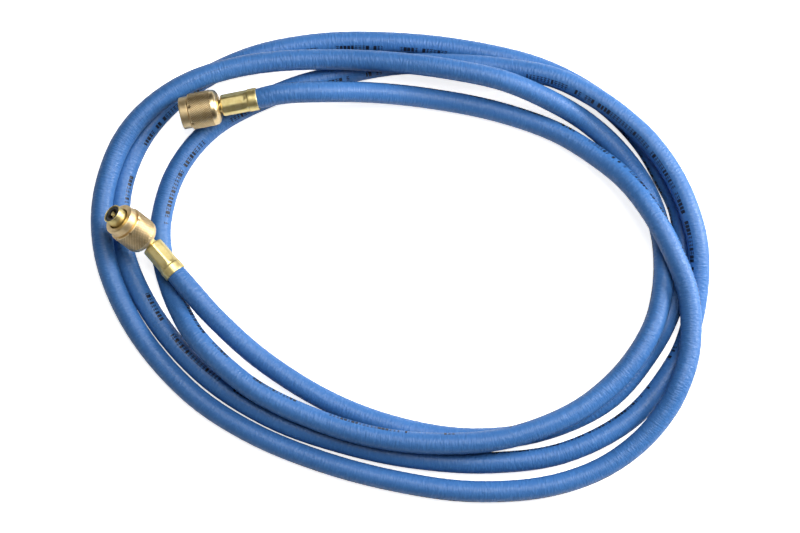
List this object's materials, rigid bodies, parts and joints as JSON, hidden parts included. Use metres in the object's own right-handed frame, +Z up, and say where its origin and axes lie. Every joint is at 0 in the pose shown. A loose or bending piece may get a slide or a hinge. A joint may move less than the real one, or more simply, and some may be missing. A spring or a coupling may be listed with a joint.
{
  "type": "refrigerant charging hose",
  "caption": "Coiled rubber refrigerant charging hose with crimped brass ferrules, loose knurled coupling nuts, and a straight and a bent end.",
  "frame": {"origin": "middle of the coil's outline, on the surface it lies on", "axes": "+X along the coil's longest extent, away from the fittings; +Z up, out of the surface"},
  "size_m": [0.3237, 0.2536, 0.0466],
  "materials": {
    "blue_rubber": "matte, finely wrinkled",
    "yellow_brass": "bright, crimped",
    "brass": "satin, knurled",
    "black_rubber": "matte"
  },
  "bodies": {
    "hose_with_ends": {"hose": "blue_rubber", "ferrule_1": "yellow_brass", "stem_1": "yellow_brass", "gasket_1": "black_rubber", "depressor_1": "yellow_brass", "ferrule_2": "yellow_brass", "stem_2": "yellow_brass", "gasket_2": "black_rubber", "depressor_2": "yellow_brass"},
    "straight_end_nut": {"nut_1": "brass"},
    "bent_end_nut": {"nut_2": "brass"}
  },
  "joints": [
    {"name": "straight_end_nut_spin", "type": "hinge", "parent": "hose_with_ends", "child": "straight_end_nut", "pos_m": [-0.1056, 0.07815, 0.02156], "axis": [-0.9811, -0.173, -0.0872], "continuous": true},
    {"name": "bent_end_nut_spin", "type": "hinge", "parent": "hose_with_ends", "child": "bent_end_nut", "pos_m": [-0.13872, 0.01219, 0.03046], "axis": [-0.5879, 0.3611, 0.7239], "continuous": true}
  ]
}
